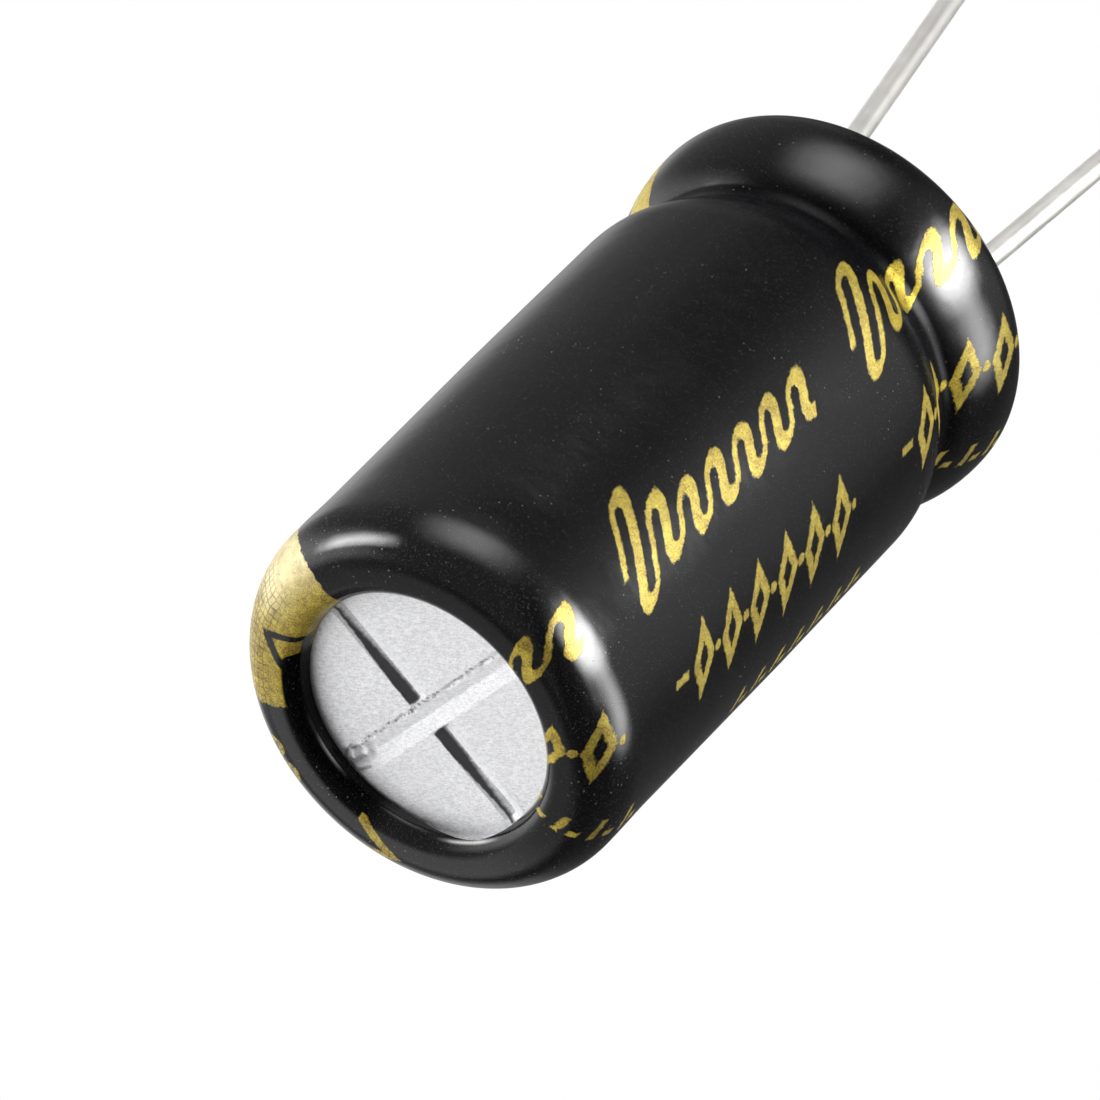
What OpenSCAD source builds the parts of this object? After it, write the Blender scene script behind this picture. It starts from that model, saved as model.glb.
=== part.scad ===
// Radial electrolytic capacitor, 10 x 20 mm, with its wound element
// Z runs up the can, from the seat where it meets the board to the vent.
// The anode lead is on the +X side and the cathode lead on the -X side.

/* [Can] */
// Outer diameter of the bare can at its open end
can_d = 10; // [8:0.1:13]
// Height over the sleeve, from the seat to the crown round the vent
total_h = 20.3; // [16:0.1:35]
// Wall of the drawn can
can_wall = 0.25; // [0.2:0.01:0.32]
// How much smaller the radius is at the closed end than at the open end
draft = 0.08; // [0:0.01:0.15]
// Length over which the can tapers below its shoulder
draft_len = 8; // [4:0.5:10]
// Radius of the shoulder at the closed end
shoulder_r = 1.5; // [1.2:0.05:1.9]
// Tighter radius where the shoulder meets the crown
crown_r = 0.65; // [0.5:0.05:0.9]
// Turn of the shoulder, in degrees, where the tighter radius takes over
shoulder_turn = 45; // [35:1:60]
// Flat width of the crown
crown_flat = 0.25; // [0.1:0.05:0.5]
// Radius of the edge where the crown turns down to the vent
lip_r = 0.35; // [0.3:0.01:0.45]

/* [Vent] */
// Depth of the vent panel below the crown of the can
panel_depth = 0.45; // [0.38:0.01:0.6]
// Thickness of the vent panel
panel_t = 0.3; // [0.25:0.01:0.4]
// Width of a score line at the face of the panel
score_w = 0.55; // [0.3:0.01:0.7]
// Width of the floor of a score line
score_floor_w = 0.12; // [0.05:0.01:0.2]
// Depth of a score line
score_depth = 0.17; // [0.1:0.01:0.22]
// Bare edge left between the end of a score line and the wall of the recess
score_edge = 0.14; // [0.1:0.01:0.4]
// Turn of the cross about the axis of the can
score_turn = 40; // [0:1:89]

/* [Bead and flange] */
// Depth of the bead that grips the seal
bead_depth = 0.57; // [0.5:0.01:0.8]
// Radius at the bottom of the bead
bead_r = 0.71; // [0.5:0.01:1.1]
// Soft radius between the bead and the side of the can
bead_shoulder_r = 2.65; // [2:0.05:3.2]
// Steepest slope of the flange where it rises out of the bead
bead_slope = 59; // [35:1:75]
// How far the flange stands out past the side of the can
flange_swell = 0.19; // [0.05:0.01:0.25]
// Radius of the round side of the flange, from its rim up to the bead
flange_r = 3; // [2.4:0.05:3.4]
// Straight height on the rim of the flange
flange_land = 0.08; // [0.02:0.01:0.3]
// Radius where the flange turns under to the seat
corner_r = 0.83; // [0.6:0.01:1]
// Flat width of the curl at the seat
curl_flat = 0.3; // [0.15:0.01:0.5]
// Radius of the curl where it turns up into the seal
curl_r = 0.5; // [0.4:0.01:0.6]
// Straight edge of the curl that bites into the seal
curl_bite = 0.15; // [0.05:0.01:0.3]

/* [Sleeve] */
// Wall of the shrunk sleeve
sleeve_wall = 0.15; // [0.1:0.01:0.2]
// Extra wall where the sleeve has shrunk round the shoulder
sleeve_gain = 0.03; // [0:0.01:0.06]
// Length over which the extra wall fades out
gain_len = 1.8; // [1:0.1:3]
// Turn of the sleeve, in degrees, over the edge of the vent recess
lip_turn = 70; // [40:1:85]
// Turn of the sleeve, in degrees, up the curl at the seat
fold_turn = 25; // [5:1:60]

/* [Seal] */
// Height of the rubber seal
seal_h = 4; // [3.5:0.1:5]
// Depth of the face of the seal above the seat
seal_recess = 0.45; // [0.3:0.01:0.6]
// Clearance of the tabs and leads in their holes
hole_clear = 0.01; // [0.005:0.005:0.03]
// Height of the web that holds the foot of each tab above the face of the seal
seal_web = 0.65; // [0.4:0.01:1]

/* [Leads] */
// Diameter of the lead wire
lead_d = 0.6; // [0.5:0.01:0.8]
// Distance between the leads where they leave the seal
lead_pitch = 5; // [3.5:0.1:5.5]
// Length of the anode lead below the seat
anode_lead_len = 24; // [10:0.5:32]
// Length of the cathode lead below the seat
cathode_lead_len = 20; // [8:0.5:28]
// Straight stretch below the seat before the bend
lead_root = 1; // [0.3:0.1:3]
// Radius of the bend on the centre line of the wire
bend_r = 2; // [1:0.1:4]
// Splay of the anode lead, in degrees
anode_splay_angle = 5.5; // [1:0.5:12]
// Splay of the cathode lead, in degrees
cathode_splay_angle = 8.5; // [1:0.5:12]
// Bevel left by the cutter at the tip of a lead
tip_bevel = 0.08; // [0.03:0.01:0.15]

/* [Tabs] */
// Diameter of the round stem of a tab, in the seal
stem_d = 1.5; // [1.2:0.05:1.8]
// Height of the round stem above the inner face of the seal
stem_proud = 0.3; // [0.1:0.05:0.8]
// Height over which the stem is pressed flat
neck_h = 0.9; // [0.6:0.05:1.5]
// Thickness of the pressed paddle
tab_t = 0.25; // [0.18:0.01:0.32]
// Width of the pressed paddle
tab_w = 1.8; // [1.5:0.05:2]
// Bare foil left above the end of the paddle
tab_top_edge = 1.5; // [0.5:0.1:4]

/* [Wound element] */
// Diameter of the hole left by the winding arbor
arbor_d = 1.6; // [1:0.1:2.2]
// Thickness of the etched anode foil
anode_t = 0.1; // [0.08:0.005:0.13]
// Thickness of the cathode foil
cathode_t = 0.05; // [0.04:0.005:0.07]
// Thickness of a paper separator
paper_t = 0.05; // [0.04:0.005:0.07]
// Thickness of the closing tape
tape_t = 0.06; // [0.04:0.01:0.1]
// Film of electrolyte between two layers
layer_gap = 0.01; // [0.005:0.005:0.02]
// Least room between the wound element and the can
roll_clear = 0.17; // [0.1:0.01:0.4]
// Room between the wound element and the vent panel
roll_head = 0.5; // [0.3:0.05:1]
// Room between the necks of the tabs and the paper
roll_foot = 0.2; // [0.1:0.05:0.5]
// How far the paper stands out past the foils at each end
paper_edge = 0.5; // [0.3:0.05:1]
// Bare paper above and below the closing tape
tape_edge = 1.5; // [0.8:0.1:4]
// Half turns of bare paper next to the arbor, and past the end of the foils
paper_lead_in = 2; // [2:2:4]

/* [Hidden] */
$fn = 64;
// Largest turn between two points of a curve in the section of the can, in degrees
arc_step = 9;
// Number of points along the stretch where the extra wall fades
gain_steps = 5;
// How far the straight stretches of a lead run into its bend, and how much thicker the bend is in radius
bend_lap = 0.04;
bend_proud = 0.002;
// Reach of the helper shapes that cut, well past the part
reach = can_d;

// Heights of the can
can_r = can_d / 2;
can_top = total_h - sleeve_wall - sleeve_gain;
can_foot = sleeve_wall;
panel_z = can_top - panel_depth;
panel_under_z = panel_z - panel_t;

// Centres of the curves at the closed end, as [radius, height]
closed_r = can_r - draft;
shoulder_c = [closed_r - shoulder_r, can_top - crown_r - (shoulder_r - crown_r) * sin(shoulder_turn)];
crown_c = shoulder_c + (shoulder_r - crown_r) * [cos(shoulder_turn), sin(shoulder_turn)];
lip_c = [crown_c[0] - crown_flat, can_top - lip_r];
panel_r = lip_c[0] - lip_r;

// Centres of the curves at the open end, worked out upwards from the seat
rim_r = can_r + flange_swell;
corner_c = [rim_r - corner_r, can_foot + corner_r];
curl_c = [corner_c[0] - curl_flat, can_foot + curl_r];
flange_c = [rim_r - flange_r, corner_c[1] + flange_land];
rise = flange_swell + bead_depth;
slope = min(bead_slope, acos(max(-1, 1 - rise / (bead_r + flange_r))));
slope_len = (rise - (bead_r + flange_r) * (1 - cos(slope))) / sin(slope);
bead_z = flange_c[1] + (bead_r + flange_r) * sin(slope) + slope_len * cos(slope);
bead_c = [can_r - bead_depth + bead_r, bead_z];
bead_turn = acos(1 - bead_depth / (bead_shoulder_r + bead_r));
soft_c = [can_r - bead_shoulder_r, bead_z + (bead_shoulder_r + bead_r) * sin(bead_turn)];

// Heights inside the can
seal_top = seal_recess + seal_h;
stem_foot = seal_recess + seal_web;
stem_top = seal_top + stem_proud;
neck_top = stem_top + neck_h;
roll_foot_z = neck_top + roll_foot;
roll_top_z = panel_under_z - roll_head;

// Layers of the wound element, from the inside out: anode foil, paper, cathode foil, paper
layer_t = [anode_t, paper_t, cathode_t, paper_t];
function layer_in(s) = s == 0 ? 0 : layer_in(s - 1) + layer_t[s - 1] + layer_gap;
pitch = layer_in(3) + paper_t + layer_gap;
tab_room = tab_t + layer_gap;

// The layers cross the X axis once in each half turn, at +X after an even count and at -X after an odd one.
// Each tab lies at the crossing nearest the middle of its lead, and pushes out the turns outside it.
arbor_r = arbor_d / 2;
lead_x = lead_pitch / 2;
anode_at = 2 * round((lead_x - tab_t / 2 - arbor_r) / pitch);
cathode_at = 2 * round((lead_x - tab_t / 2 - arbor_r - layer_in(2)) / pitch - 0.5) + 1;
roll_room = closed_r - can_wall - roll_clear;
half_turns = 2 * floor((roll_room - tape_t - tab_room - arbor_r) / pitch - 1.5);

// Points along an arc about centre c, from angle a0 to angle a1
function arc(c, r, a0, a1) =
    let (n = max(1, ceil(abs(a1 - a0) / arc_step)))
    [for (i = [0 : n]) let (a = a0 + (a1 - a0) * i / n) c + max(r, 0.02) * [cos(a), sin(a)]];

// Section of the can offset outwards by o, from the edge of the vent recess to the side
function closed_end(o, lip_a = 180) = concat(
    arc(lip_c, lip_r + o, lip_a, 90),
    arc(crown_c, crown_r + o, 90, shoulder_turn),
    arc(shoulder_c, shoulder_r + o, shoulder_turn, 0));

// The same from the foot of the taper to the curl at the seat
function open_end(o, curl_a = -180) = concat(
    [[can_r + o, shoulder_c[1] - draft_len]],
    arc(soft_c, bead_shoulder_r + o, 0, -bead_turn),
    arc(bead_c, bead_r - o, 180 - bead_turn, 180 + slope),
    arc(flange_c, flange_r + o, slope, 0),
    arc(corner_c, corner_r + o, 0, -90),
    arc(curl_c, curl_r + o, -90, curl_a));

// Edge of the curl, which points up into the seal
bite_z = curl_c[1] + curl_bite;
function bite(o) = [curl_c[0] - curl_r - o, bite_z];

function backwards(p) = [for (i = [len(p) - 1 : -1 : 0]) p[i]];

// Inner section of the can, from the vent panel to the edge of the curl
function inside() = concat([[lip_c[0] - max(lip_r - can_wall, 0.02), panel_under_z]],
                           closed_end(-can_wall), open_end(-can_wall), [bite(-can_wall)]);

module score_line() {
    rotate([90, 0, 90])
        translate([0, panel_z, -panel_r])
            linear_extrude(2 * panel_r)
                polygon([[-score_floor_w / 2, -score_depth], [score_floor_w / 2, -score_depth],
                         [score_w / 2, 0], [score_w / 2, score_depth],
                         [-score_w / 2, score_depth], [-score_w / 2, 0]]);
}

// Cross of two score lines with sloping ends
module cross() {
    score_r = panel_r - score_edge;
    for (a = [0, 90])
        intersection() {
            rotate([0, 0, score_turn + a]) score_line();
            translate([0, 0, panel_z - score_depth])
                cylinder(h = 2 * score_depth, r1 = score_r - score_depth, r2 = score_r + score_depth);
        }
}

module can() {
    color("#d5d7da")
        difference() {
            rotate_extrude()
                polygon(concat([[0, panel_z], [panel_r, panel_z]], closed_end(0), open_end(0), [bite(0)],
                               backwards(inside()), [[0, panel_under_z]]));
            cross();
        }
}

// Outer face of the sleeve where its extra wall fades below the shoulder
function fade() =
    [for (i = [1 : gain_steps])
        let (t = i / gain_steps, extra = sleeve_gain * (1 + cos(180 * t)) / 2)
        [closed_r + draft * t * gain_len / draft_len + sleeve_wall + extra, shoulder_c[1] - t * gain_len]];

module sleeve() {
    color("#1b1b1d")
        rotate_extrude()
            polygon(concat(closed_end(sleeve_wall + sleeve_gain, 90 + lip_turn), fade(),
                           open_end(sleeve_wall, -90 - fold_turn),
                           backwards(concat(closed_end(0, 90 + lip_turn), open_end(0, -90 - fold_turn)))));
}

// Rubber squeezed into the bead and under the curl, with a stepped hole for each tab
module seal() {
    color("#2c2c2e")
        difference() {
            rotate_extrude()
                intersection() {
                    polygon(concat([[0, panel_under_z]], inside(),
                                   [bite(0), [bite(0)[0], seal_recess], [0, seal_recess]]));
                    square([reach, seal_top]);
                }
            for (side = [-1, 1])
                translate([side * lead_x, 0, 0]) {
                    translate([0, 0, stem_foot]) cylinder(h = reach, d = stem_d + 2 * hole_clear);
                    cylinder(h = reach, d = lead_d + 2 * hole_clear);
                }
        }
}

// Distance from the axis to the inner face of layer s where it crosses the X axis for the j-th time
function crossing(s, j) =
    arbor_r + layer_in(s) + j * pitch / 2
    + (j % 2 == 0 ? (j >= anode_at ? tab_room : 0) : (j >= cathode_at + (s < 2 ? 2 : 0) ? tab_room : 0));

// Layer s of thickness t as true half circles, from half turn k0 to half turn k1
module wound(s, t, k0, k1, z0, z1) {
    for (k = [k0 : k1])
        let (near = crossing(s, k), far = crossing(s, k + 1), side = k % 2 == 0 ? 1 : -1)
            translate([side * (near - far) / 2, 0, z0])
                rotate([0, 0, side > 0 ? 0 : 180])
                    rotate_extrude(angle = 180)
                        translate([(near + far) / 2, 0]) square([t, z1 - z0]);
}

module anode_foil() {
    color("#8f9297")
        wound(0, anode_t, paper_lead_in, half_turns - 2, roll_foot_z + paper_edge, roll_top_z - paper_edge);
}

module inner_paper() {
    color("#e3d7b8") wound(1, paper_t, 0, half_turns, roll_foot_z, roll_top_z);
}

module cathode_foil() {
    color("#b9bcc1")
        wound(2, cathode_t, paper_lead_in, half_turns - 1, roll_foot_z + paper_edge, roll_top_z - paper_edge);
}

module outer_paper() {
    color("#e9dfc4") wound(3, paper_t, 0, half_turns, roll_foot_z, roll_top_z);
}

// One turn of tape that starts where the paper ends
module closing_tape() {
    color("#c9a24a")
        wound(0, tape_t, half_turns + 1, half_turns + 2, roll_foot_z + tape_edge, roll_top_z - tape_edge);
}

// Tab on the +X side, with the inner face of its paddle at distance d from the axis
module tab(d) {
    stem_r = stem_d / 2;
    flat_r = d + pitch / 4;
    round_r = d + tab_t / 2 - pitch / 4 - layer_gap;
    paddle_foot = stem_top + neck_h / 3;
    paddle_top = roll_top_z - paper_edge - tab_top_edge;
    translate([lead_x, 0, stem_foot]) cylinder(h = stem_top - stem_foot, r = stem_r);
    // Neck pressed from round to flat
    intersection() {
        translate([lead_x, 0, stem_foot]) cylinder(h = neck_top - stem_foot, r = stem_r);
        translate([0, stem_r, 0])
            rotate([90, 0, 0])
                linear_extrude(2 * stem_r)
                    polygon([[lead_x - stem_r, stem_foot], [lead_x + stem_r, stem_foot],
                             [lead_x + stem_r, stem_top], [d + tab_t, neck_top],
                             [d, neck_top], [lead_x - stem_r, stem_top]]);
    }
    // Paddle curved to lie between the turns
    intersection() {
        difference() {
            translate([d + tab_t - round_r, 0, paddle_foot]) cylinder(h = paddle_top - paddle_foot, r = round_r);
            translate([d - flat_r, 0, 0]) cylinder(h = total_h, r = flat_r);
        }
        translate([0, -tab_w / 2, 0]) cube([reach, tab_w, total_h]);
    }
}

module anode_tab() {
    color("#c4c7cb") tab(crossing(0, anode_at) - tab_room);
}

module cathode_tab() {
    color("#c4c7cb") mirror([1, 0, 0]) tab(crossing(2, cathode_at) - tab_room);
}

// Wire welded to the foot of its tab, on the +X side, straight through the seal and then splayed.
// The bend is a trace thicker than the wire, so that the straight stretches end inside it.
module lead(length, splay) {
    lead_r = lead_d / 2;
    bend_len = bend_r * splay * PI / 180;
    straight = length - lead_root - bend_len + bend_lap;
    translate([lead_x, 0, 0]) {
        translate([0, 0, -lead_root - bend_lap]) cylinder(h = stem_foot + lead_root + bend_lap, r = lead_r);
        translate([bend_r, 0, -lead_root]) {
            rotate([90, 0, 0])
                rotate([0, 0, 180])
                    rotate_extrude(angle = splay) translate([bend_r, 0]) circle(r = lead_r + bend_proud);
            rotate([0, -splay, 0])
                translate([-bend_r, 0, bend_lap]) {
                    translate([0, 0, tip_bevel - straight]) cylinder(h = straight - tip_bevel, r = lead_r);
                    translate([0, 0, -straight]) cylinder(h = tip_bevel, r1 = lead_r - tip_bevel, r2 = lead_r);
                }
        }
    }
}

module anode_lead() {
    color("#c9cacc") lead(anode_lead_len, anode_splay_angle);
}

module cathode_lead() {
    color("#c9cacc") mirror([1, 0, 0]) lead(cathode_lead_len, cathode_splay_angle);
}

sleeve();
can();
seal();
anode_tab();
cathode_tab();
anode_lead();
cathode_lead();
anode_foil();
inner_paper();
cathode_foil();
outer_paper();
closing_tape();
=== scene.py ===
import math

import bmesh
import bpy
import numpy as np
from mathutils import Matrix, Vector
from mathutils.geometry import delaunay_2d_cdt


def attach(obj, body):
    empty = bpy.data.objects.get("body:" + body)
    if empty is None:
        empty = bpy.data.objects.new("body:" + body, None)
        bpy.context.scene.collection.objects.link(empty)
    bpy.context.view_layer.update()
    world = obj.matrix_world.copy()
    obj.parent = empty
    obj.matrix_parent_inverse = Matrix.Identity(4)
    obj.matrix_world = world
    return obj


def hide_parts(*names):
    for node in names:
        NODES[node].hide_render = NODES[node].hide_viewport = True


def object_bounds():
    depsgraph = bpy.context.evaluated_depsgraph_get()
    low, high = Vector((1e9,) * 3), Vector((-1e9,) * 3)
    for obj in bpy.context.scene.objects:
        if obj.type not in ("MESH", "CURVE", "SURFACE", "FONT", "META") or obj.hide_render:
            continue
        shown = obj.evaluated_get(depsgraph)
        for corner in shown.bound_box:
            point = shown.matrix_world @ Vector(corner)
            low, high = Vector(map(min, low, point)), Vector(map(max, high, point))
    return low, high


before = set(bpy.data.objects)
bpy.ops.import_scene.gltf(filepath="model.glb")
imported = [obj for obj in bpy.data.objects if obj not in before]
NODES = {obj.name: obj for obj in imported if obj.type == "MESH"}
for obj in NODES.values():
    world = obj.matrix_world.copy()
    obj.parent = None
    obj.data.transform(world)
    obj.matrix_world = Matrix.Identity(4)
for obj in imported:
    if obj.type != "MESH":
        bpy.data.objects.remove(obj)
cad_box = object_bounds()
MM = 0.001
DEGREE = math.radians(1.0)
WHITE = (1.0, 1.0, 1.0, 1.0)

# Camera: the photograph's viewpoint, in millimetres in the part's frame
CAMERA_AT = (102.3374, 114.5844, 164.0426)
CAMERA_RIGHT = (0.857502, -0.108048, -0.503007)
CAMERA_UP = (-0.191166, 0.840784, -0.506496)
CAMERA_BACK = (0.477646, 0.530479, 0.700319)
LENS = 299.403
SENSOR = 36.0
CLIP_START = 0.01
CLIP_END = 10.0

# Section of the can and sleeve, as in the solids, in millimetres and degrees
CAN_R = 5.0
TOTAL_H = 20.3
CAN_WALL = 0.25
DRAFT = 0.08
DRAFT_LEN = 8.0
SHOULDER_R = 1.5
CROWN_R = 0.65
SHOULDER_TURN = 45.0
CROWN_FLAT = 0.25
LIP_R = 0.35
PANEL_DEPTH = 0.45
PANEL_T = 0.3
BEAD_DEPTH = 0.57
BEAD_R = 0.71
BEAD_SHOULDER_R = 2.65
BEAD_SLOPE = 59.0
FLANGE_SWELL = 0.19
FLANGE_R = 3.0
FLANGE_LAND = 0.08
CORNER_R = 0.83
CURL_FLAT = 0.3
CURL_R = 0.5
CURL_BITE = 0.15
SLEEVE_WALL = 0.15
SLEEVE_GAIN = 0.03
GAIN_LEN = 1.8
FOLD_TURN = 25.0

# Score lines of the vent: depth, plain edge of the panel round them, and turn
SCORE_DEPTH = 0.17
SCORE_EDGE = 0.14
SCORE_TURN = 40.0

# Fineness of the turned meshes: steps round, degrees a step on arcs, longest row in millimetres
TURN_STEPS = 256
ARC_STEP = 3.0
UNDER_FILM_STEP = 6.0
INNER_STEP = 12.0
SLEEVE_ROW = 0.6
CAN_ROW = 2.5
INNER_ROW = 4.0
FADE_ROWS = 10
SMALLEST_R = 0.02
SAME_POINT = 1e-5

can_top = TOTAL_H - SLEEVE_WALL - SLEEVE_GAIN
can_foot = SLEEVE_WALL
panel_z = can_top - PANEL_DEPTH
panel_under_z = panel_z - PANEL_T
closed_r = CAN_R - DRAFT


def polar(c, r, deg):
    return (c[0] + r * math.cos(math.radians(deg)), c[1] + r * math.sin(math.radians(deg)))


# Centres of the section's arcs, from the closed end to the curl
shoulder_c = (closed_r - SHOULDER_R,
              can_top - CROWN_R - (SHOULDER_R - CROWN_R) * math.sin(math.radians(SHOULDER_TURN)))
crown_c = polar(shoulder_c, SHOULDER_R - CROWN_R, SHOULDER_TURN)
lip_c = (crown_c[0] - CROWN_FLAT, can_top - LIP_R)
panel_r = lip_c[0] - LIP_R
rim_r = CAN_R + FLANGE_SWELL
corner_c = (rim_r - CORNER_R, can_foot + CORNER_R)
curl_c = (corner_c[0] - CURL_FLAT, can_foot + CURL_R)
flange_c = (rim_r - FLANGE_R, corner_c[1] + FLANGE_LAND)
rise = FLANGE_SWELL + BEAD_DEPTH
slope_turn = min(BEAD_SLOPE, math.degrees(math.acos(max(-1.0, 1 - rise / (BEAD_R + FLANGE_R)))))
slope = math.radians(slope_turn)
slope_len = (rise - (BEAD_R + FLANGE_R) * (1 - math.cos(slope))) / math.sin(slope)
bead_z = flange_c[1] + (BEAD_R + FLANGE_R) * math.sin(slope) + slope_len * math.cos(slope)
bead_c = (CAN_R - BEAD_DEPTH + BEAD_R, bead_z)
bead_turn = math.degrees(math.acos(1 - BEAD_DEPTH / (BEAD_SHOULDER_R + BEAD_R)))
soft_c = (CAN_R - BEAD_SHOULDER_R,
          bead_z + (BEAD_SHOULDER_R + BEAD_R) * math.sin(math.radians(bead_turn)))


# Points along an arc of the section
def arc(c, r, a0, a1, step):
    n = max(1, math.ceil(abs(a1 - a0) / step))
    return [polar(c, max(r, SMALLEST_R), a0 + (a1 - a0) * i / n) for i in range(n + 1)]


# Straight stretch in rows, without its two ends
def rows(p, q, row):
    n = max(1, math.ceil(math.dist(p, q) / row))
    return [(p[0] + (q[0] - p[0]) * i / n, p[1] + (q[1] - p[1]) * i / n) for i in range(1, n)]


# Section from the lip of the vent's recess over the crown to the body, at offset o from the can
def closed_end(o, lip_a=180.0, step=ARC_STEP):
    return (arc(lip_c, LIP_R + o, lip_a, 90, step)
            + arc(crown_c, CROWN_R + o, 90, SHOULDER_TURN, step)
            + arc(shoulder_c, SHOULDER_R + o, SHOULDER_TURN, 0, step)[1:])


# Section from the body over the bead and flange to the curl, at offset o from the can
def open_end(o, curl_a=-180.0, step=ARC_STEP):
    return ([(CAN_R + o, shoulder_c[1] - DRAFT_LEN)]
            + arc(soft_c, BEAD_SHOULDER_R + o, 0, -bead_turn, step)
            + arc(bead_c, BEAD_R - o, 180 - bead_turn, 180 + slope_turn, step)
            + arc(flange_c, FLANGE_R + o, slope_turn, 0, step)
            + arc(corner_c, CORNER_R + o, 0, -90, step)
            + arc(curl_c, CURL_R + o, -90, curl_a, step))


# Outer face of the sleeve where its extra wall fades below the shoulder
def fade(steps):
    out = []
    for i in range(1, steps + 1):
        t = i / steps
        extra = SLEEVE_GAIN * (1 + math.cos(math.pi * t)) / 2
        out.append((closed_r + DRAFT * t * GAIN_LEN / DRAFT_LEN + SLEEVE_WALL + extra,
                    shoulder_c[1] - t * GAIN_LEN))
    return out


# Section with rows added wherever two neighbours lie far apart
def with_rows(points, row):
    out = [points[0]]
    for p in points[1:]:
        if math.dist(out[-1], p) < SAME_POINT:
            continue
        out += rows(out[-1], p, row)
        out.append(p)
    return out


# Finished mesh object at the origin, riding on the part
def piece(name, mesh, materials, stands_for):
    obj = bpy.data.objects.new(name, mesh)
    bpy.context.scene.collection.objects.link(obj)
    for m in materials:
        mesh.materials.append(m)
    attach(obj, "root")
    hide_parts(*stands_for)
    return obj


# Turned surface through a section, closed on itself or from end to end.
# Its map holds the azimuth in turns from the seam, and the distance along the section.
class Lathe:
    SEAM = -90.0
    RUN = 30.0
    START = 22.0

    def __init__(self):
        self.bm = bmesh.new()
        self.uv = self.bm.loops.layers.uv.new("print")
        self.run = {}

    def vert(self, x, y, z, s=0.0):
        v = self.bm.verts.new((x * MM, y * MM, z * MM))
        self.run[v] = (s + self.START) / self.RUN
        return v

    # Ring whose radius, height and run depend on the azimuth
    def shaped_ring(self, at):
        out = []
        for j in range(TURN_STEPS):
            deg = self.SEAM + 360.0 * j / TURN_STEPS
            r, z, s = at(deg)
            a = math.radians(deg)
            out.append(self.vert(r * math.cos(a), r * math.sin(a), z, s))
        return out

    # Ring through one point of the section
    def ring(self, r, z, s=0.0):
        return self.shaped_ring(lambda deg: (r, z, s))

    # Faces between two rings, or between a ring and one point
    def band(self, low, high, material):
        n = TURN_STEPS
        for j in range(n):
            k = (j + 1) % n
            corners = [(low[j % len(low)], j), (low[k % len(low)], j + 1),
                       (high[k % len(high)], j + 1), (high[j % len(high)], j)]
            used = []
            for c in corners:
                if c[0] not in [u[0] for u in used]:
                    used.append(c)
            face = self.bm.faces.new([c[0] for c in used])
            face.material_index = material
            face.smooth = True
            for loop, c in zip(face.loops, used):
                loop[self.uv].uv = (c[1] / n, self.run[c[0]])

    def bands(self, rings, material):
        for low, high in zip(rings, rings[1:]):
            self.band(low, high, material)

    def finish(self, name, sharp):
        bmesh.ops.remove_doubles(self.bm, verts=self.bm.verts, dist=1e-8)
        bmesh.ops.recalc_face_normals(self.bm, faces=self.bm.faces)
        mesh = bpy.data.meshes.new(name)
        self.bm.to_mesh(mesh)
        self.bm.free()
        mesh.set_sharp_from_angle(angle=math.radians(sharp))
        return mesh


# Distance along the section, which runs as minus the height on the straight body
def run_of(points, zero_z):
    body_r = CAN_R - 0.1
    too_far = 9
    s = [0.0]
    for p, q in zip(points, points[1:]):
        s.append(s[-1] + math.dist(p, q))
    off = [abs(p[1] - zero_z) + (p[0] < body_r) * too_far for p in points]
    at = off.index(min(off))
    return [v - s[at] - points[at][1] for v in s]


# Any node: settings first, then inputs by name or by place as i0, i1, each a value or a link
def node(tree, kind, output=0, settings=None, **inputs):
    n = tree.nodes.new(kind)
    for k, v in (settings or {}).items():
        setattr(n, k, v)
    for k, v in inputs.items():
        numbered = k[0] == "i" and k[1:].isdigit()
        socket = n.inputs[int(k[1:]) if numbered else k.replace("_", " ")]
        if isinstance(v, Sock):
            tree.links.new(v.out, socket)
        else:
            socket.default_value = v
    return None if output is None else Sock(tree, n.outputs[output])


def by_place(values):
    return {"i%d" % i: v for i, v in enumerate(values)}


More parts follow.
